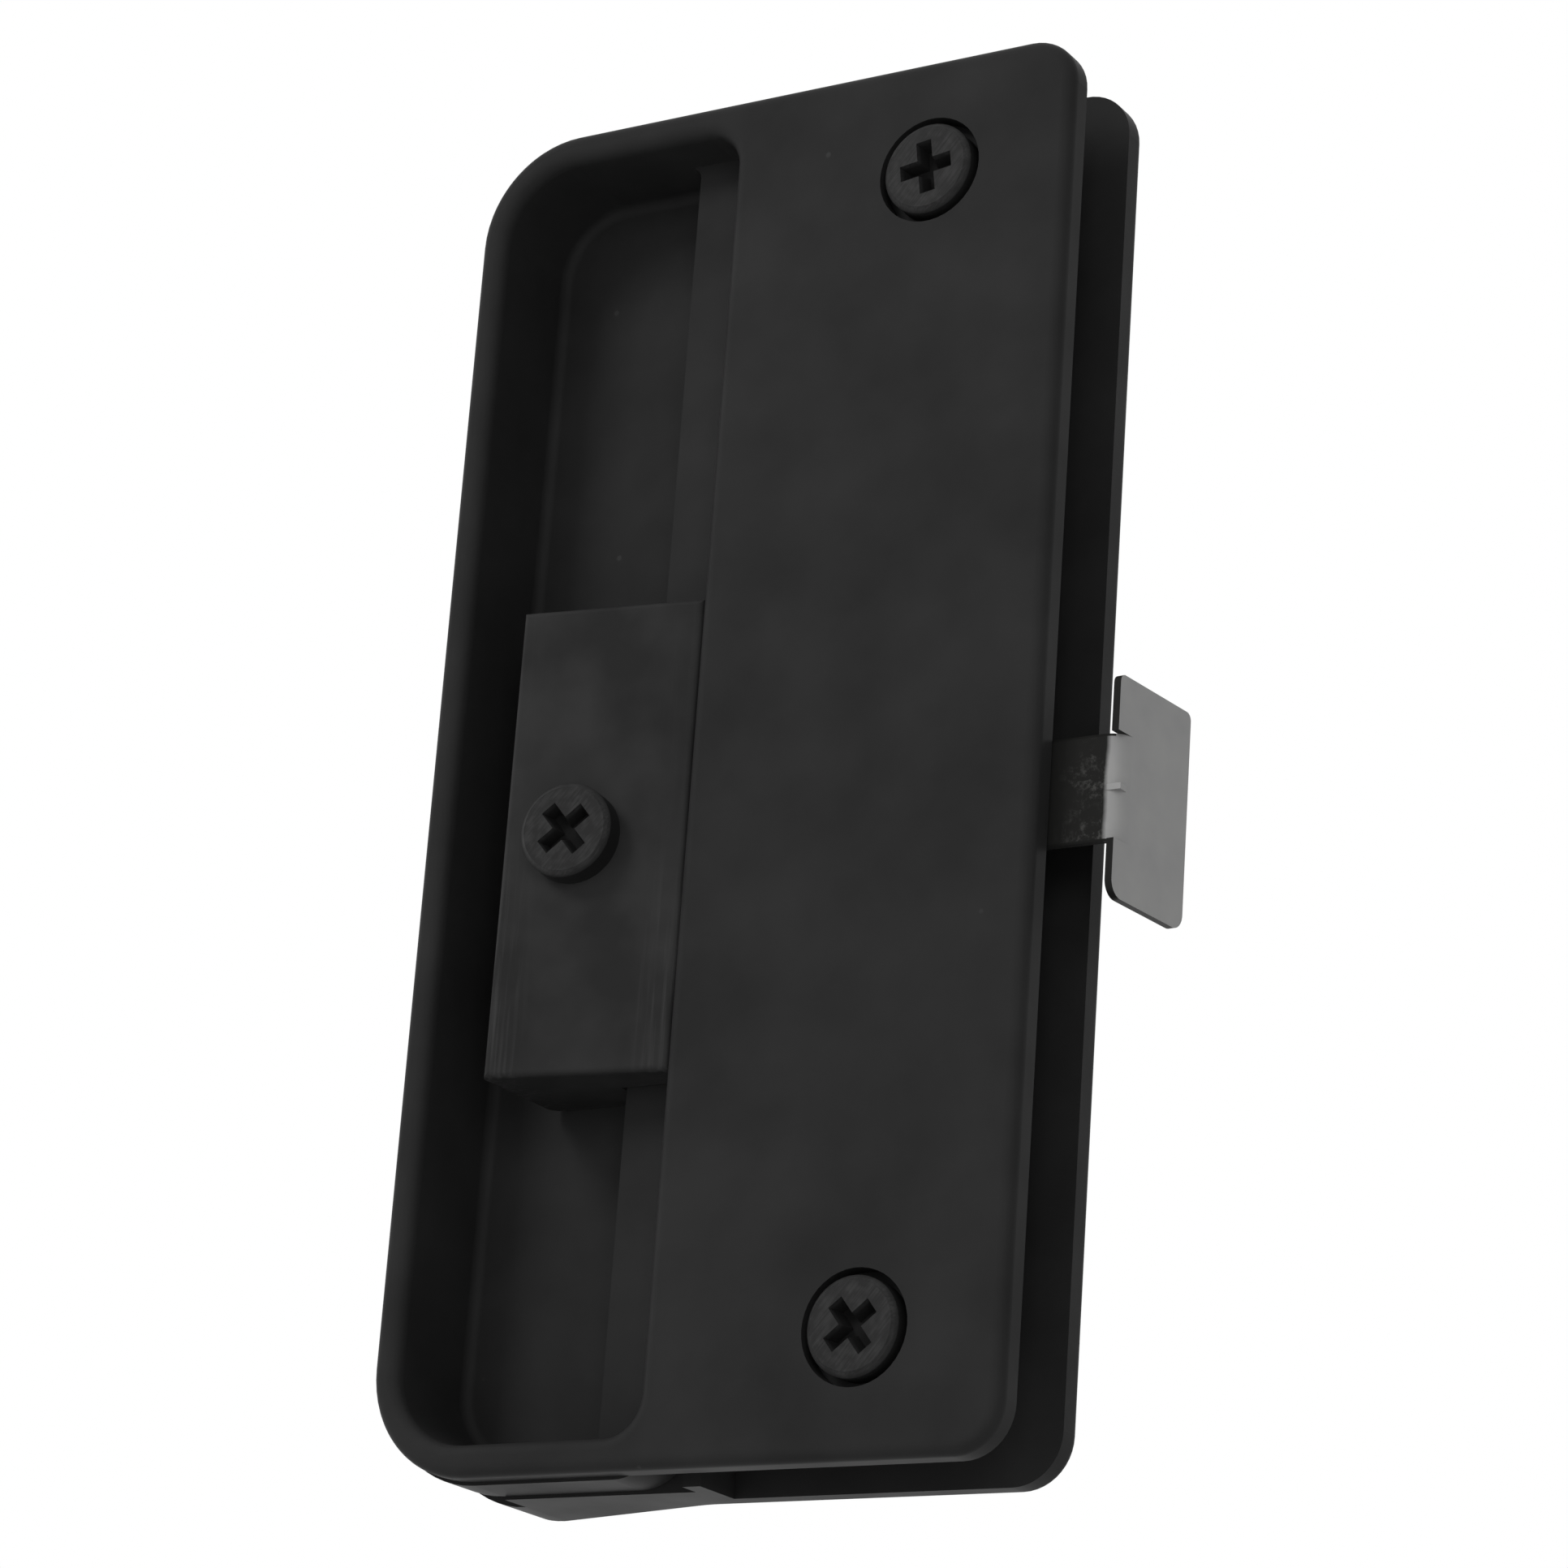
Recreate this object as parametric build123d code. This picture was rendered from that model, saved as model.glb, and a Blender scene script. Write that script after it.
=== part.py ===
"""Latch and pull set for a sliding screen door, in millimetres.

Two moulded halves clamp the door's stile between their plates. A thumb lever slides up and down
in the finger cup of the inside half and carries a bent steel latch bar out past the plates' edge.

The origin lies midway between the two mounting screws, on the face of the stile that the outside
plate seats on. +X points to the jamb, +Y to the outside of the door and +Z up.
"""

import math
import os

from build123d import *

# Both plates and their screws
PLATE_WIDTH = 45.3
PLATE_HEIGHT = 92.1
HINGE_CORNER = 7.2
JAMB_CORNER = 3.3
SCREW_SPACING = 76.2
SCREW_TO_EDGE = 10.2
STILE_GAP = 6.0
FIT_GAP = 0.2

# Inside half: plate, finger cup, slide shelf and the cup's body behind the plate
INSIDE_PLATE = 2.0
RIM_ROUND = 0.8
MOUTH_ROUND = 0.9
CUP_SIDE_RIM = 1.9
CUP_END_RIM = 2.1
CUP_WIDTH = 18.2
CUP_DEPTH = 7.8
CUP_WALL = 1.0
CUP_CORNER = 5.0
CUP_JAMB_CORNER = 2.6
FLOOR_ROUND = 0.7
SHELF_WIDTH = 5.2
SHELF_DEPTH = 4.0
SHELF_CORNER = 0.9
BODY_PROUD = 0.2
BODY_DEPTH = 3.4
CORE_WALL = 1.3

# Outside half: plate, wedge grip, collar that meets the cup's body, locating rib and screw posts
OUTSIDE_PLATE = 2.0
OUTSIDE_DROP = 0.4
OUTSIDE_EDGE = 0.7
WEDGE_WIDTH = 20.0
WEDGE_RISE = 3.7
CREST_INSET = 5.6
CREST_ROUND = 1.0
WEDGE_BLEND = 6.0
GRIP_LIP = 2.6
GRIP_HEIGHT = 66.0
GRIP_CORNER = 3.0
GRIP_FLOOR = 0.4
POST_RADIUS = 3.5
COLLAR_WIDTH = 15.4
RIB = 1.3
RIB_SHORT = 2.0

# Thumb lever
LEVER_HEIGHT = 31.6
LEVER_SIDE_GAP = 5.1
LEVER_PROUD = 0.9
LEVER_SUNK = 1.0
LEVER_CLEARANCE = 0.3
LEVER_EDGE = 0.4
TRAVEL = 9.8

# Latch bar, bent from flat strip
STRIP = 0.5
ARM_HEIGHT = 6.9
ARM_DEPTH = 2.3
ARM_SEAT = 0.05
ARM_INSET = 0.8
BEND_ROUND = 1.3
HOOK_REACH = 4.7
HOOK_FLARE = 5.0
HOOK_HEIGHT = 14.2
HOOK_FRONT = 0.7
HOOK_BACK = 7.5
HOOK_CORNER = 0.5
HOOK_FOOT_CORNER = 1.1
GUSSET = 0.4
GUSSET_LENGTH = 2.2
ADJUST_LENGTH = 5.0

# Pan head screws
SHANK_RADIUS = 1.75
SHANK_POINT = 0.6
HEAD_RADIUS = 3.15
HEAD_HEIGHT = 1.8
HEAD_BEVEL = 0.35
RECESS_LENGTH = 3.7
RECESS_WIDTH = 1.1
RECESS_DEPTH = 1.2
RECESS_TAPER = 12.0
HEAD_GAP = 0.5
HEAD_PROUD = 0.5
HOLE_CLEARANCE = 0.35
THREAD_CLEARANCE = 0.05
MOUNT_SCREW_LENGTH = 8.0
LEVER_SCREW_LENGTH = 7.0
LEVER_SCREW_INSET = 5.1
MOUNT_SCREW_TURNS = (38.0, 8.0)
LEVER_SCREW_TURN = 40.0

# Places along X, from the screws
JAMB_EDGE = SCREW_TO_EDGE
HINGE_EDGE = JAMB_EDGE - PLATE_WIDTH
CUP_LEFT = HINGE_EDGE + CUP_SIDE_RIM
CUP_RIGHT = CUP_LEFT + CUP_WIDTH
SHELF_LEFT = CUP_RIGHT - SHELF_WIDTH
BODY_RIGHT = CUP_RIGHT + CUP_WALL
RIB_LEFT = BODY_RIGHT + FIT_GAP
RIB_RIGHT = RIB_LEFT + RIB
LEVER_LEFT = CUP_LEFT + LEVER_SIDE_GAP
LEVER_RIGHT = CUP_RIGHT - LEVER_CLEARANCE
LEVER_STEP = SHELF_LEFT - LEVER_CLEARANCE
LEVER_SCREW_X = LEVER_LEFT + LEVER_SCREW_INSET
LEVER_SLOPE = (LEVER_PROUD + LEVER_SUNK) / (LEVER_RIGHT - LEVER_LEFT)
HOOK_FACE = JAMB_EDGE + HOOK_REACH
ARM_START = LEVER_LEFT + ARM_INSET

# Places along Y, from the stile's outer face
INSIDE_BACK = -STILE_GAP
INSIDE_FRONT = INSIDE_BACK - INSIDE_PLATE
SHELF = INSIDE_FRONT + SHELF_DEPTH
CUP_FLOOR = INSIDE_FRONT + CUP_DEPTH
CUP_BACK = CUP_FLOOR + CUP_WALL
OUTSIDE_BACK = OUTSIDE_PLATE
CREST = OUTSIDE_BACK + WEDGE_RISE
ARM_FRONT = INSIDE_FRONT + ARM_DEPTH
ARM_BACK = ARM_FRONT + STRIP
RIB_FRONT = INSIDE_BACK + RIB_SHORT
BODY_BACK = INSIDE_BACK + BODY_DEPTH
COLLAR_FRONT = BODY_BACK + FIT_GAP
HEAD_SEAT = INSIDE_FRONT - HEAD_PROUD + HEAD_HEIGHT

# Places along Z: the latch lies at the foot of its travel
HALF_HEIGHT = PLATE_HEIGHT / 2
CUP_END = HALF_HEIGHT - CUP_END_RIM
LATCH_Z = -TRAVEL / 2
SCREW_ENDS = (-SCREW_SPACING / 2, SCREW_SPACING / 2)


def rounded(left, right, bottom, top, left_radius, right_radius):
    """A rectangle in X and Z with one radius for its left corners and one for its right corners."""
    outline = Pos((left + right) / 2, (bottom + top) / 2) * Rectangle(right - left, top - bottom)
    outline = fillet(outline.vertices().group_by(Axis.X)[0], left_radius)
    return fillet(outline.vertices().group_by(Axis.X)[-1], right_radius)


def slab(outline, front, back):
    """An outline drawn in X and Z, made solid between two places along Y."""
    return extrude(Plane.XZ.offset(-front) * outline, front - back)


def bar(corners, height, middle):
    """A closed section drawn in X and Y, made solid over a height about its middle along Z."""
    section = make_face(Polyline(*corners, close=True))
    return Pos(0, 0, middle) * extrude(section, height / 2, both=True)


def plate_outline():
    """The outline that both halves share."""
    return rounded(HINGE_EDGE, JAMB_EDGE, -HALF_HEIGHT, HALF_HEIGHT, HINGE_CORNER, JAMB_CORNER)


def hole(radius, x, z, front, back):
    """A round hole along Y."""
    return slab(Pos(x, z) * Circle(radius), front, back)


def cup(right, front, back, right_radius, grow=0):
    """The finger cup's form up to a right wall, between two places along Y, grown all round."""
    outline = rounded(
        CUP_LEFT - grow, right + grow, -CUP_END - grow, CUP_END + grow,
        CUP_CORNER + grow, right_radius + grow,
    )
    return slab(outline, front, back)


def make_inside_pull():
    """Plate with a finger cup moulded into it. A shelf in the cup carries the lever and the bar."""
    plate = slab(plate_outline(), INSIDE_FRONT, INSIDE_BACK)
    plate = fillet(plate.faces().sort_by(Axis.Y)[0].edges(), RIM_ROUND)

    body = rounded(
        HINGE_EDGE, BODY_RIGHT, -HALF_HEIGHT - BODY_PROUD, HALF_HEIGHT + BODY_PROUD,
        HINGE_CORNER, CUP_JAMB_CORNER + CUP_WALL,
    )
    pull = plate + slab(body, INSIDE_BACK, BODY_BACK)
    pull += cup(SHELF_LEFT, INSIDE_BACK, CUP_BACK, SHELF_CORNER, CUP_WALL)
    deep_cup = cup(SHELF_LEFT, INSIDE_FRONT, CUP_FLOOR, SHELF_CORNER)
    deep_cup = fillet(deep_cup.faces().sort_by(Axis.Y)[-1].edges(), FLOOR_ROUND)
    pull -= cup(CUP_RIGHT, INSIDE_FRONT, SHELF, CUP_JAMB_CORNER)
    pull -= deep_cup

    # The body is cored out behind the shelf
    core = rounded(
        SHELF_LEFT + CORE_WALL, BODY_RIGHT - CORE_WALL, -CUP_END, CUP_END, SHELF_CORNER, SHELF_CORNER
    )
    pull -= slab(core, SHELF + CUP_WALL, BODY_BACK)

    mouth = pull.faces().sort_by(Axis.Y)[0].inner_wires()[0]
    pull = fillet(mouth.edges(), MOUTH_ROUND)

    window_half = ARM_HEIGHT / 2 + LEVER_CLEARANCE
    window = Rectangle(2 * CUP_WALL, TRAVEL + 2 * window_half)
    pull -= slab(Pos(BODY_RIGHT, 0) * window, INSIDE_BACK, SHELF)
    for z in SCREW_ENDS:
        pull -= hole(HEAD_RADIUS + HEAD_GAP, 0, z, INSIDE_FRONT, HEAD_SEAT)
        pull -= hole(SHANK_RADIUS + HOLE_CLEARANCE, 0, z, HEAD_SEAT, INSIDE_BACK)
    return pull


def make_outside_pull():
    """Plate that swells into a wedge with a finger grip. A collar takes the cup, posts the screws."""
    wedge_end = HINGE_EDGE + WEDGE_WIDTH
    corners = [
        (JAMB_EDGE, 0),
        (JAMB_EDGE, OUTSIDE_BACK),
        (wedge_end, OUTSIDE_BACK),
        (HINGE_EDGE + CREST_INSET, CREST),
        (HINGE_EDGE, OUTSIDE_BACK),
        (HINGE_EDGE, 0),
    ]
    section = make_face(Polyline(*corners, close=True))
    crest = section.vertices().sort_by(Axis.Y)[-1]
    section = fillet(crest, CREST_ROUND)
    blend = section.vertices().sort_by_distance((wedge_end, OUTSIDE_BACK))[0]
    section = fillet(blend, WEDGE_BLEND)
    pull = extrude(section, HALF_HEIGHT, both=True) & slab(plate_outline(), 0, CREST)
    flat_back = pull.faces().filter_by(Axis.Y).sort_by(Axis.Y)[-1]
    rim = flat_back.edges().sort_by(Axis.X)[1:]  # all but the edge that runs into the wedge
    pull = fillet(rim, OUTSIDE_EDGE)

    grip_left = HINGE_EDGE + CREST_INSET + GRIP_LIP
    grip = rounded(
        grip_left, wedge_end, -GRIP_HEIGHT / 2, GRIP_HEIGHT / 2, GRIP_CORNER, GRIP_CORNER
    )
    pull -= slab(grip, OUTSIDE_BACK + GRIP_FLOOR, CREST)

    rib = Pos((RIB_LEFT + RIB_RIGHT) / 2, 0) * Rectangle(RIB, PLATE_HEIGHT)
    pull += slab(rib, RIB_FRONT, 0)
    collar = Pos(RIB_RIGHT - COLLAR_WIDTH / 2, 0) * Rectangle(COLLAR_WIDTH, PLATE_HEIGHT)
    pull += slab(collar, COLLAR_FRONT, 0)
    pull = Pos(0, 0, -OUTSIDE_DROP) * pull
    cup_grow = CUP_WALL + FIT_GAP
    pull -= cup(CUP_RIGHT, COLLAR_FRONT, 0, CUP_JAMB_CORNER, cup_grow)
    pull -= cup(SHELF_LEFT, 0, CUP_FLOOR + cup_grow, SHELF_CORNER, cup_grow)

    for z in SCREW_ENDS:
        pull += hole(POST_RADIUS, 0, z, INSIDE_BACK, 0)
        pilot_end = HEAD_SEAT + MOUNT_SCREW_LENGTH + FIT_GAP
        pull -= hole(SHANK_RADIUS + THREAD_CLEARANCE, 0, z, INSIDE_BACK, pilot_end)
    return pull


def make_screw(length, turn):
    """Pan head screw along Y: its head's underside lies at Y = 0 and its point at Y = length."""
    corners = [
        (0, length),
        (SHANK_RADIUS - SHANK_POINT, length),
        (SHANK_RADIUS, length - SHANK_POINT),
        (SHANK_RADIUS, 0),
        (HEAD_RADIUS, 0),
        (HEAD_RADIUS, -HEAD_HEIGHT),
        (0, -HEAD_HEIGHT),
    ]
    profile = make_face(Polyline(*corners, close=True))
    rim = profile.vertices().sort_by_distance((HEAD_RADIUS, -HEAD_HEIGHT))[0]
    screw = revolve(chamfer(rim, HEAD_BEVEL), Axis.Y)
    slot = Rectangle(RECESS_LENGTH, RECESS_WIDTH)
    cross = Rot(0, 0, turn) * (slot + Rot(0, 0, 90) * slot)
    top = Plane.XZ.offset(HEAD_HEIGHT)
    return screw - extrude(top * cross, -RECESS_DEPTH, taper=RECESS_TAPER)


def lever_face_y(x):
    """Where the lever's sloped thumb face lies along Y."""
    return INSIDE_FRONT - LEVER_PROUD + LEVER_SLOPE * (x - LEVER_LEFT)


def lever_screw_place():
    """The lever screw stands square on the sloped face."""
    lean = math.degrees(math.atan(LEVER_SLOPE))
    return Pos(LEVER_SCREW_X, lever_face_y(LEVER_SCREW_X), LATCH_Z) * Rot(0, 0, lean)


def make_thumb_lever():
    """Block with a sloped face. It rides on the shelf, reaches down to the floor and holds the bar."""
    shelf_side = SHELF - FIT_GAP
    floor_side = CUP_FLOOR - LEVER_CLEARANCE
    corners = [
        (LEVER_LEFT, lever_face_y(LEVER_LEFT)),
        (LEVER_RIGHT, lever_face_y(LEVER_RIGHT)),
        (LEVER_RIGHT, shelf_side),
        (LEVER_STEP, shelf_side),
        (LEVER_STEP, floor_side),
        (LEVER_LEFT, floor_side),
    ]
    lever = bar(corners, LEVER_HEIGHT, LATCH_Z)
    foot = lever.faces().sort_by(Axis.Y)[-1]
    lever = fillet(foot.edges().filter_by(Axis.Z), FLOOR_ROUND)
    thumb_face = lever.faces().sort_by(Axis.Y)[0]
    lever = fillet(thumb_face.edges(), LEVER_EDGE)
    arm_slot = Rectangle(2 * (LEVER_RIGHT - LEVER_LEFT), ARM_HEIGHT + 2 * ARM_SEAT)
    arm_slot = Pos(LEVER_SCREW_X, LATCH_Z) * arm_slot
    lever -= slab(arm_slot, ARM_FRONT - ARM_SEAT, ARM_BACK + ARM_SEAT)
    pilot = hole(SHANK_RADIUS + THREAD_CLEARANCE, 0, 0, 0, LEVER_SCREW_LENGTH + FIT_GAP)
    return lever - lever_screw_place() * pilot


def make_latch_bar():
    """Strip that leaves the lever, runs out past the plates and bends back into an upright hook."""
    flare_x = math.sin(math.radians(HOOK_FLARE))
    flare_y = math.cos(math.radians(HOOK_FLARE))
    bend = Vector(HOOK_FACE - STRIP / 2, ARM_FRONT + STRIP / 2)
    tip = bend + Vector(flare_x, flare_y) * HOOK_BACK
    bend_radius = BEND_ROUND - STRIP / 2
    middle_line = FilletPolyline((ARM_START, bend.Y), bend, tip, radius=bend_radius)
    arm = extrude(trace(middle_line, STRIP), ARM_HEIGHT / 2, both=True)

    # The hook's wings reach past the bend, which is cut free of them up to its end
    hook = Pos((HOOK_BACK - HOOK_FRONT) / 2, 0) * Rectangle(HOOK_FRONT + HOOK_BACK, HOOK_HEIGHT)
    hook = fillet(hook.vertices().group_by(Axis.Y)[0], HOOK_FOOT_CORNER)
    hook = fillet(hook.vertices().group_by(Axis.Y)[-1], HOOK_CORNER)
    notch = Rectangle(HOOK_FRONT + bend_radius, ARM_HEIGHT)
    hook -= Pos((bend_radius - HOOK_FRONT) / 2, 0) * notch
    hook_plane = Plane(bend, x_dir=(flare_x, flare_y, 0), z_dir=(flare_y, -flare_x, 0))
    hook = extrude(hook_plane * hook, STRIP / 2, both=True)

    # A small web stiffens the bend's outer corner
    gusset_corners = [
        (HOOK_FACE - GUSSET_LENGTH, ARM_FRONT),
        (HOOK_FACE, ARM_FRONT),
        (HOOK_FACE, ARM_FRONT + GUSSET_LENGTH),
        (HOOK_FACE - STRIP, ARM_FRONT + GUSSET_LENGTH),
        (HOOK_FACE - GUSSET_LENGTH, ARM_BACK),
    ]
    latch = arm + hook + bar(gusset_corners, GUSSET, 0)
    screw_at_arm = LEVER_SCREW_X - LEVER_SLOPE * (ARM_BACK - lever_face_y(LEVER_SCREW_X))
    slot_middle = screw_at_arm + ADJUST_LENGTH / 2
    slot = SlotCenterToCenter(ADJUST_LENGTH, 2 * (SHANK_RADIUS + HOLE_CLEARANCE))
    latch -= slab(Pos(slot_middle, 0) * slot, ARM_FRONT, ARM_BACK)
    return Pos(0, 0, LATCH_Z) * latch


def make_mounting_screws():
    """The two screws that pull the halves together."""
    screws = []
    for z, turn in zip(SCREW_ENDS, MOUNT_SCREW_TURNS):
        screws.append(Pos(0, HEAD_SEAT, z) * make_screw(MOUNT_SCREW_LENGTH, turn))
    return Compound(screws)


nodes = {
    "inside_pull": make_inside_pull(),
    "outside_pull": make_outside_pull(),
    "thumb_lever": make_thumb_lever(),
    "latch_bar": make_latch_bar(),
    "lever_screw": lever_screw_place() * make_screw(LEVER_SCREW_LENGTH, LEVER_SCREW_TURN),
    "mounting_screws": make_mounting_screws(),
}
os.makedirs("parts", exist_ok=True)
for name, node in nodes.items():
    export_step(node, f"parts/{name}.step")
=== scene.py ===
"""Looks of the screen door latch: finishes for each piece, a pale studio and the photograph's camera."""
import math

import bpy
from mathutils import Euler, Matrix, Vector


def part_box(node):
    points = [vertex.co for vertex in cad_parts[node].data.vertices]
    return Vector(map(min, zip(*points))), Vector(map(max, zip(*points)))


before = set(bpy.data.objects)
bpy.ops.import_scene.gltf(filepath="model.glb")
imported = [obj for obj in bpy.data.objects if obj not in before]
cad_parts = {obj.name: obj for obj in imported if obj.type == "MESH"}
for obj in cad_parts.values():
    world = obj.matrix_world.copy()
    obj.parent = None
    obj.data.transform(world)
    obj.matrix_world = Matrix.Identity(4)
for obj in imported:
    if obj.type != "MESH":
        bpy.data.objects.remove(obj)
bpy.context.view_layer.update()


# Inside pull
# The half that faces the room: one injection moulding of black ABS with a deep finger cup.
# Two pan head screws draw it against the door's stile.
MM = 0.001


def linear(hex_colour):
    """An sRGB hex colour as the linear RGBA that a shader takes."""
    channels = [int(hex_colour[i:i + 2], 16) / 255 for i in (1, 3, 5)]
    return [c / 12.92 if c <= 0.04045 else ((c + 0.055) / 1.055) ** 2.4 for c in channels] + [1.0]


def add_node(tree, kind, inputs=None, **settings):
    """Adds a node, sets its properties, and sets or links its inputs."""
    made = tree.nodes.new(kind)
    for name, value in settings.items():
        setattr(made, name, value)
    for socket, value in (inputs or {}).items():
        if isinstance(value, bpy.types.NodeSocket):
            tree.links.new(value, made.inputs[socket])
        else:
            made.inputs[socket].default_value = value
    return made


def new_material(name):
    """An empty material: its tree, its shader and the piece's own coordinates in metres."""
    material = bpy.data.materials.new(name)
    material.use_nodes = True
    tree = material.node_tree
    tree.nodes.clear()
    shader = add_node(tree, "ShaderNodeBsdfPrincipled")
    add_node(tree, "ShaderNodeOutputMaterial", {"Surface": shader.outputs["BSDF"]})
    place = add_node(tree, "ShaderNodeTexCoord").outputs["Object"]
    return material, tree, shader, place


def dress(node_name, material):
    """Gives a CAD node one material all over."""
    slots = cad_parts[node_name].data.materials
    slots.clear()
    slots.append(material)


def moulded_black_abs():
    """Black ABS from a spark-eroded mould: satin, with a faint grain and cloudy patches from handling."""
    material, tree, shader, place = new_material("moulded_black_abs")
    grain_size = 0.35 * MM  # the real grain is about 0.1 mm, too fine to show
    cloud_size = 9 * MM
    dust_spacing = 7 * MM
    clouds = add_node(tree, "ShaderNodeTexNoise", {
        "Vector": place, "Scale": 1 / cloud_size, "Detail": 3.0, "Roughness": 0.55,
    })
    tint = add_node(tree, "ShaderNodeValToRGB", {"Fac": clouds.outputs["Fac"]})
    tint.color_ramp.elements[0].position = 0.32
    tint.color_ramp.elements[0].color = linear("#222222")
    tint.color_ramp.elements[1].position = 0.70
    tint.color_ramp.elements[1].color = linear("#292929")
    dust = add_node(tree, "ShaderNodeTexVoronoi", {"Vector": place, "Scale": 1 / dust_spacing})
    speck = add_node(tree, "ShaderNodeMapRange", {
        "Value": dust.outputs["Distance"], "From Min": 0.022, "From Max": 0.034,
        "To Min": 1.0, "To Max": 0.0,
    })
    dusty = add_node(tree, "ShaderNodeMix", {
        0: speck.outputs["Result"], 6: tint.outputs["Color"], 7: linear("#303030"),
    }, data_type="RGBA")
    gloss = add_node(tree, "ShaderNodeMapRange", {
        "Value": clouds.outputs["Fac"], "From Min": 0.3, "From Max": 0.7, "To Min": 0.48, "To Max": 0.40,
    })
    grain = add_node(tree, "ShaderNodeTexNoise", {
        "Vector": place, "Scale": 1 / grain_size, "Detail": 2.0,
    })
    bump = add_node(tree, "ShaderNodeBump", {
        "Height": grain.outputs["Fac"], "Strength": 0.10, "Distance": 0.02 * MM,
    })
    tree.links.new(dusty.outputs[2], shader.inputs["Base Color"])
    tree.links.new(gloss.outputs["Result"], shader.inputs["Roughness"])
    tree.links.new(bump.outputs["Normal"], shader.inputs["Normal"])
    shader.inputs["Specular IOR Level"].default_value = 0.035
    return material


black_abs = moulded_black_abs()
dress("inside_pull", black_abs)


# Outside pull
# The half on the weather side, moulded from the same black ABS, with a wedge to pull on.
# Its posts pass through the stile and take the mounting screws.
dress("outside_pull", black_abs)


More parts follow.
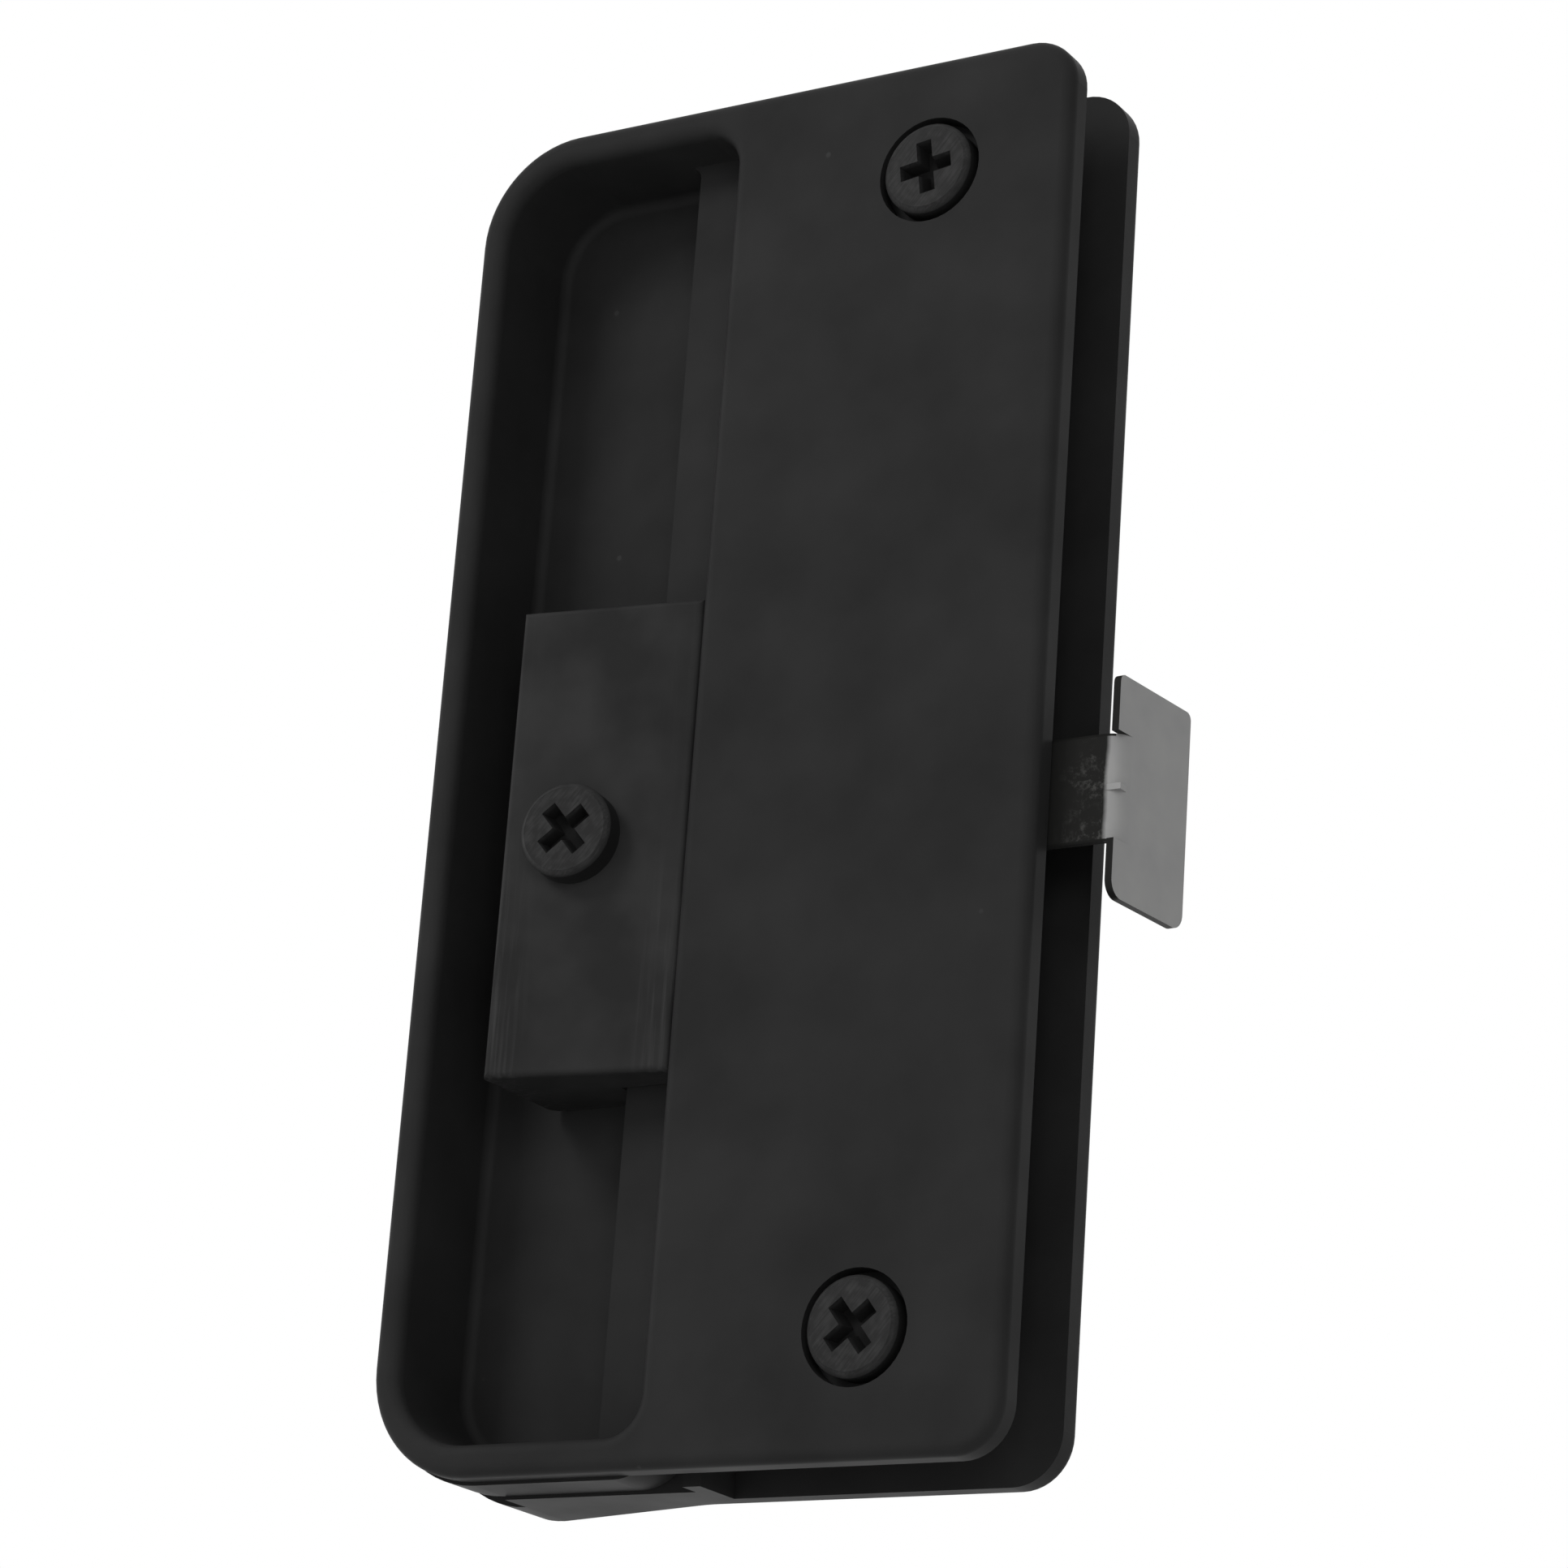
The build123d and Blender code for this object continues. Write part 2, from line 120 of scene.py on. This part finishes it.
# Latch bar
# Steel strip, stamped and bent, with a plain zinc finish: satin grey where it shows at the jamb.
# Between the plates it is painted near-black as painted shade, with pale specks of dirt. It is clamped in
# the lever.
def zinc_plated_steel():
    """Dull zinc plate: a soft grey metal with faint mottling, painted shade on its cut edges, and painted
    shade with dirt specks on the arm.
    """
    material, tree, shader, place = new_material("zinc_plated_steel")
    low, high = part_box("latch_bar")
    middle = (low.z + high.z) / 2
    mottle_size = 2.5 * MM
    speck_size = 0.5 * MM
    shade_end = 13.9 * MM
    shade_fade = 0.3 * MM
    dusty_length = 3.5 * MM
    arm_half = 3.3 * MM
    side_on = 0.5  # the least sideways part of a normal on the flat of the hook
    mottle = add_node(tree, "ShaderNodeTexNoise", {
        "Vector": place, "Scale": 1 / mottle_size, "Detail": 4.0,
    })
    metal = add_node(tree, "ShaderNodeValToRGB", {"Fac": mottle.outputs["Fac"]})
    metal.color_ramp.elements[0].position = 0.3
    metal.color_ramp.elements[0].color = linear("#868686")
    metal.color_ramp.elements[1].position = 0.7
    metal.color_ramp.elements[1].color = linear("#8c8c8b")
    grit = add_node(tree, "ShaderNodeTexNoise", {
        "Vector": place, "Scale": 1 / speck_size, "Detail": 5.0, "Roughness": 0.75,
    })
    specks = add_node(tree, "ShaderNodeMapRange", {
        "Value": grit.outputs["Fac"], "From Min": 0.50, "From Max": 0.74,
    })
    along = add_node(tree, "ShaderNodeSeparateXYZ", {"Vector": place})
    outward = add_node(tree, "ShaderNodeMapRange", {
        "Value": along.outputs["X"], "From Min": shade_end - dusty_length, "From Max": shade_end,
    })
    clusters = add_node(tree, "ShaderNodeMapRange", {
        "Value": mottle.outputs["Fac"], "From Min": 0.40, "From Max": 0.62,
        "To Max": outward.outputs["Result"],
    })
    speckled = add_node(tree, "ShaderNodeMath", {
        0: specks.outputs["Result"], 1: clusters.outputs["Result"],
    }, operation="MULTIPLY")
    # Painted shade: the arm between the plates is painted near-black where the plates shade it; the pale
    # specks on it are dirt.
    shade_and_specks = add_node(tree, "ShaderNodeMix", {
        0: speckled.outputs["Value"], 6: linear("#1c1c1b"), 7: linear("#5c5c5a"),
    }, data_type="RGBA")
    waver = add_node(tree, "ShaderNodeMath", {
        0: mottle.outputs["Fac"], 1: shade_fade, 2: along.outputs["X"],
    }, operation="MULTIPLY_ADD")
    # Where the painted shade ends near the jamb, along a wavering edge; past it the metal shows its own
    # grey.
    unshaded = add_node(tree, "ShaderNodeMapRange", {
        "Value": waver.outputs["Value"], "From Min": shade_end, "From Max": shade_end + shade_fade,
    })
    plated = add_node(tree, "ShaderNodeMix", {
        0: unshaded.outputs["Result"], 6: shade_and_specks.outputs[2], 7: metal.outputs["Color"],
    }, data_type="RGBA")
    # Painted shade: faces of the wings that don't face sideways, their cut edges and undersides, are
    # painted near-black as if lying in shade.
    facing = add_node(tree, "ShaderNodeSeparateXYZ", {
        "Vector": add_node(tree, "ShaderNodeTexCoord").outputs["Normal"],
    })
    sideways = add_node(tree, "ShaderNodeMath", {0: facing.outputs["X"]}, operation="ABSOLUTE")
    sheared = add_node(tree, "ShaderNodeMath", {
        0: sideways.outputs["Value"], 1: side_on,
    }, operation="LESS_THAN")
    height = add_node(tree, "ShaderNodeMath", {0: along.outputs["Z"], 1: middle}, operation="SUBTRACT")
    off_arm = add_node(tree, "ShaderNodeMath", {0: height.outputs["Value"]}, operation="ABSOLUTE")
    on_wing = add_node(tree, "ShaderNodeMath", {
        0: off_arm.outputs["Value"], 1: arm_half,
    }, operation="GREATER_THAN")
    shaded_cut_edge = add_node(tree, "ShaderNodeMath", {
        0: sheared.outputs["Value"], 1: on_wing.outputs["Value"],
    }, operation="MULTIPLY")
    colour = add_node(tree, "ShaderNodeMix", {
        0: shaded_cut_edge.outputs["Value"], 6: plated.outputs[2], 7: linear("#161615"),
    }, data_type="RGBA")
    gloss = add_node(tree, "ShaderNodeMapRange", {
        "Value": unshaded.outputs["Result"], "To Min": 0.75, "To Max": 0.48,
    })
    bump = add_node(tree, "ShaderNodeBump", {
        "Height": grit.outputs["Fac"], "Strength": 0.12, "Distance": 0.03 * MM,
    })
    tree.links.new(colour.outputs[2], shader.inputs["Base Color"])
    tree.links.new(gloss.outputs["Result"], shader.inputs["Roughness"])
    tree.links.new(bump.outputs["Normal"], shader.inputs["Normal"])
    shader.inputs["Metallic"].default_value = 0.25
    shader.inputs["Specular IOR Level"].default_value = 0.15
    return material


dress("latch_bar", zinc_plated_steel())


# Thumb lever
# A moulded block of the same black ABS that slides in the cup. Thumbs have rubbed its sloped face
# satin, and its long edges carry lengthwise scuffs where it runs against the cup.
def rubbed_black_abs():
    """Black ABS rubbed by thumbs: cloudy satin patches, and pale streaks along both long edges."""
    material, tree, shader, place = new_material("rubbed_black_abs")
    low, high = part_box("thumb_lever")
    cloud_size = 6 * MM
    streak_width = 0.35 * MM
    streak_length = 9 * MM
    edge_reach = 3.0 * MM
    scuff_height = 8 * MM
    clouds = add_node(tree, "ShaderNodeTexNoise", {
        "Vector": place, "Scale": 1 / cloud_size, "Detail": 3.0,
    })
    tint = add_node(tree, "ShaderNodeValToRGB", {"Fac": clouds.outputs["Fac"]})
    tint.color_ramp.elements[0].position = 0.35
    tint.color_ramp.elements[0].color = linear("#232323")
    tint.color_ramp.elements[1].position = 0.68
    tint.color_ramp.elements[1].color = linear("#2d2d2d")
    stretched = add_node(tree, "ShaderNodeMapping", {
        "Vector": place, "Scale": (1 / streak_width, 1 / streak_width, 1 / streak_length),
    })
    streaks = add_node(tree, "ShaderNodeTexNoise", {
        "Vector": stretched.outputs["Vector"], "Scale": 1.0, "Detail": 3.0,
    })
    along = add_node(tree, "ShaderNodeSeparateXYZ", {"Vector": place})
    from_middle = add_node(tree, "ShaderNodeMath", {
        0: along.outputs["X"], 1: (low.x + high.x) / 2,
    }, operation="SUBTRACT")
    off_middle = add_node(tree, "ShaderNodeMath", {0: from_middle.outputs["Value"]}, operation="ABSOLUTE")
    half_width = (high.x - low.x) / 2
    edges = add_node(tree, "ShaderNodeMapRange", {
        "Value": off_middle.outputs["Value"], "From Min": half_width - edge_reach, "From Max": half_width,
    })
    scuffs = add_node(tree, "ShaderNodeMapRange", {
        "Value": streaks.outputs["Fac"], "From Min": 0.48, "From Max": 0.66,
    })
    lower_end = add_node(tree, "ShaderNodeMapRange", {
        "Value": along.outputs["Z"], "From Min": (low.z + high.z) / 2, "From Max": low.z + scuff_height,
        "To Min": 0.12, "To Max": 1.0,
    })
    scuffed = add_node(tree, "ShaderNodeMath", {
        0: scuffs.outputs["Result"], 1: lower_end.outputs["Result"],
    }, operation="MULTIPLY")
    worn = add_node(tree, "ShaderNodeMath", {
        0: edges.outputs["Result"], 1: scuffed.outputs["Value"],
    }, operation="MULTIPLY")
    colour = add_node(tree, "ShaderNodeMix", {
        0: worn.outputs["Value"], 6: tint.outputs["Color"], 7: linear("#353535"),
    }, data_type="RGBA")
    gloss = add_node(tree, "ShaderNodeMapRange", {
        "Value": clouds.outputs["Fac"], "From Min": 0.3, "From Max": 0.7, "To Min": 0.46, "To Max": 0.36,
    })
    bump = add_node(tree, "ShaderNodeBump", {
        "Height": worn.outputs["Value"], "Strength": 0.15, "Distance": 0.05 * MM,
    })
    tree.links.new(colour.outputs[2], shader.inputs["Base Color"])
    tree.links.new(gloss.outputs["Result"], shader.inputs["Roughness"])
    tree.links.new(bump.outputs["Normal"], shader.inputs["Normal"])
    shader.inputs["Specular IOR Level"].default_value = 0.035
    return material


dress("thumb_lever", rubbed_black_abs())


# Screws
# Pan head screws of black oxide steel with cross recesses: one clamps the bar in the lever and two
# hold the halves together. Drivers have scratched their heads.
def black_oxide_steel(node_name):
    """Black oxide on turned steel: faint rings about each head, scratches across it, and painted shade
    darkening the cross recess.
    """
    material, tree, shader, place = new_material(f"black_oxide_{node_name}")
    low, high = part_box(node_name)
    head_radius = (high.x - low.x) / 2
    head_x = (low.x + high.x) / 2
    head_z = max(abs(low.z), abs(high.z)) - head_radius
    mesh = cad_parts[node_name].data
    inward = -min((side.normal for side in mesh.polygons), key=lambda normal: normal.y)
    head_top = min(inward.dot(corner.co) for corner in mesh.vertices)
    recess_start = 0.15 * MM
    recess_shade_depth = 0.45 * MM
    ring_pitch = 0.7 * MM
    ring_share = 0.03
    scratch_width = 0.12 * MM
    scratch_length = 2.5 * MM
    scratch_slant = math.radians(40)
    patch_size = 0.9 * MM
    along = add_node(tree, "ShaderNodeSeparateXYZ", {"Vector": place})
    across = add_node(tree, "ShaderNodeMath", {0: along.outputs["X"], 1: head_x}, operation="SUBTRACT")
    height = add_node(tree, "ShaderNodeMath", {0: along.outputs["Z"]}, operation="ABSOLUTE")
    upward = add_node(tree, "ShaderNodeMath", {
        0: height.outputs["Value"], 1: head_z,
    }, operation="SUBTRACT")
    from_axis = add_node(tree, "ShaderNodeCombineXYZ", {
        "X": across.outputs["Value"], "Y": upward.outputs["Value"],
    })
    radius = add_node(tree, "ShaderNodeVectorMath", {0: from_axis.outputs["Vector"]}, operation="LENGTH")
    phase = add_node(tree, "ShaderNodeMath", {
        0: radius.outputs["Value"], 1: 2 * math.pi / ring_pitch,
    }, operation="MULTIPLY")
    rings = add_node(tree, "ShaderNodeMath", {0: phase.outputs["Value"]}, operation="SINE")
    slanted = add_node(tree, "ShaderNodeMapping", {
        "Vector": place, "Rotation": (0.0, scratch_slant, 0.0),
        "Scale": (scratch_width, scratch_width, scratch_length),
    }, vector_type="TEXTURE")
    scratches = add_node(tree, "ShaderNodeTexNoise", {
        "Vector": slanted.outputs["Vector"], "Scale": 1.0, "Detail": 2.0,
    })
    patches = add_node(tree, "ShaderNodeTexNoise", {
        "Vector": place, "Scale": 1 / patch_size, "Detail": 2.0,
    })
    marks = add_node(tree, "ShaderNodeMath", {
        0: scratches.outputs["Fac"], 1: patches.outputs["Fac"],
    }, operation="MULTIPLY")
    worn = add_node(tree, "ShaderNodeMath", {
        0: rings.outputs["Value"], 1: ring_share, 2: marks.outputs["Value"],
    }, operation="MULTIPLY_ADD")
    tint = add_node(tree, "ShaderNodeValToRGB", {"Fac": worn.outputs["Value"]})
    tint.color_ramp.elements[0].position = 0.18
    tint.color_ramp.elements[0].color = linear("#242424")
    tint.color_ramp.elements[1].position = 0.40
    tint.color_ramp.elements[1].color = linear("#303030")
    bump = add_node(tree, "ShaderNodeBump", {
        "Height": worn.outputs["Value"], "Strength": 0.3, "Distance": 0.03 * MM,
    })
    # Painted shade: the cross recess is painted near-black, and made duller, below the head's top where
    # shade falls.
    depth = add_node(tree, "ShaderNodeVectorMath", {0: place, 1: inward}, operation="DOT_PRODUCT")
    painted_recess_shade = add_node(tree, "ShaderNodeMapRange", {
        "Value": depth.outputs["Value"],
        "From Min": head_top + recess_start, "From Max": head_top + recess_shade_depth,
    })
    colour = add_node(tree, "ShaderNodeMix", {
        0: painted_recess_shade.outputs["Result"], 6: tint.outputs["Color"], 7: linear("#1b1b1b"),
    }, data_type="RGBA")
    gloss = add_node(tree, "ShaderNodeMapRange", {
        "Value": painted_recess_shade.outputs["Result"], "To Min": 0.45, "To Max": 0.9,
    })
    tree.links.new(colour.outputs[2], shader.inputs["Base Color"])
    tree.links.new(gloss.outputs["Result"], shader.inputs["Roughness"])
    tree.links.new(bump.outputs["Normal"], shader.inputs["Normal"])
    shader.inputs["Metallic"].default_value = 0.2
    shader.inputs["Specular IOR Level"].default_value = 0.1
    return material


for node_name in ("lever_screw", "mounting_screws"):
    dress(node_name, black_oxide_steel(node_name))


# Studio
# A pale floor well below the latch, as it hangs at its height on a door, and soft light all round.
# The floor keeps the latch's shadow and fades with distance into a white background.
FLOOR_Z = -160 * MM
FLOOR_HALF = 3.0
FADE_START = 0.15
FADE_END = 0.7
AMBIENT = 0.4
WINDOW_LEAN = 0.15


def shows_background(tree):
    """One for the rays that show the white background: seen, mirrored or seen through glass."""
    rays = add_node(tree, "ShaderNodeLightPath")
    straight = add_node(tree, "ShaderNodeMath", {
        0: rays.outputs["Is Camera Ray"], 1: rays.outputs["Is Transmission Ray"],
    }, operation="MAXIMUM")
    return add_node(tree, "ShaderNodeMath", {
        0: straight.outputs["Value"], 1: rays.outputs["Is Glossy Ray"],
    }, operation="MAXIMUM").outputs["Value"]


floor_mesh = bpy.data.meshes.new("floor")
corners = [(x, y, FLOOR_Z) for x, y in ((-1, -1), (1, -1), (1, 1), (-1, 1))]
floor_mesh.from_pydata([(x * FLOOR_HALF, y * FLOOR_HALF, z) for x, y, z in corners], [], [(0, 1, 2, 3)])
floor = bpy.data.objects.new("floor", floor_mesh)
bpy.context.scene.collection.objects.link(floor)
floor_paint, tree, shader, place = new_material("pale_floor")
from_middle = add_node(tree, "ShaderNodeVectorMath", {0: place}, operation="LENGTH")
far = add_node(tree, "ShaderNodeMapRange", {
    "Value": from_middle.outputs["Value"], "From Min": FADE_START, "From Max": FADE_END,
}, interpolation_type="SMOOTHSTEP")
faded = add_node(tree, "ShaderNodeMath", {
    0: far.outputs["Result"], 1: shows_background(tree),
}, operation="MULTIPLY")
paint = add_node(tree, "ShaderNodeMix", {
    0: faded.outputs["Value"], 6: linear("#e4e4e4"), 7: linear("#000000"),
}, data_type="RGBA")
tree.links.new(paint.outputs[2], shader.inputs["Base Color"])
tree.links.new(faded.outputs["Value"], shader.inputs["Emission Strength"])
shader.inputs["Emission Color"].default_value = linear("#ffffff")
shader.inputs["Specular IOR Level"].default_value = 0.0
shader.inputs["Roughness"].default_value = 0.9
floor_mesh.materials.append(floor_paint)

world = bpy.data.worlds.new("studio")
bpy.context.scene.world = world
world.use_nodes = True
tree = world.node_tree
tree.nodes.clear()
window_side = (-0.55, -0.65, 0.52)
heading = add_node(tree, "ShaderNodeTexCoord").outputs["Generated"]
facing = add_node(tree, "ShaderNodeVectorMath", {0: heading, 1: window_side}, operation="DOT_PRODUCT")
room = add_node(tree, "ShaderNodeMapRange", {
    "Value": facing.outputs["Value"], "From Min": -1.0, "From Max": 1.0,
    "To Min": AMBIENT - WINDOW_LEAN, "To Max": AMBIENT + WINDOW_LEAN,
})
strength = add_node(tree, "ShaderNodeMapRange", {
    "Value": shows_background(tree), "To Min": room.outputs["Result"], "To Max": 1.0,
})
background = add_node(tree, "ShaderNodeBackground", {
    "Color": linear("#ffffff"), "Strength": strength.outputs["Result"],
})
add_node(tree, "ShaderNodeOutputWorld", {"Surface": background.outputs["Background"]})


def add_softbox(name, place, size, power):
    """A square area light at a place, turned towards the latch. Only its light shows, not the lamp."""
    lamp = bpy.data.lights.new(name, "AREA")
    lamp.size = size
    lamp.energy = power
    box = bpy.data.objects.new(name, lamp)
    box.location = place
    box.rotation_euler = Vector(place).to_track_quat("Z", "Y").to_euler()
    box.visible_glossy = False
    bpy.context.scene.collection.objects.link(box)


add_softbox("key", (-0.34, -0.52, 0.42), 0.25, 3.5)
add_softbox("fill", (0.40, -0.65, 0.10), 0.30, 1.4)
add_softbox("back", (-0.35, 0.60, 0.35), 0.40, 2.0)


# Camera
# It stands to the right of the latch and below it, as in the photograph.
camera_data = bpy.data.cameras.new("camera")
camera_data.lens = 112.05
camera_data.sensor_width = 36.0
camera = bpy.data.objects.new("camera", camera_data)
camera.location = (0.145697, -0.253714, -0.100844)
camera.rotation_euler = Euler([math.radians(a) for a in (108.71, -3.92, 30.64)], "XYZ")
bpy.context.scene.collection.objects.link(camera)
bpy.context.scene.camera = camera
bpy.context.scene.view_settings.view_transform = "Standard"
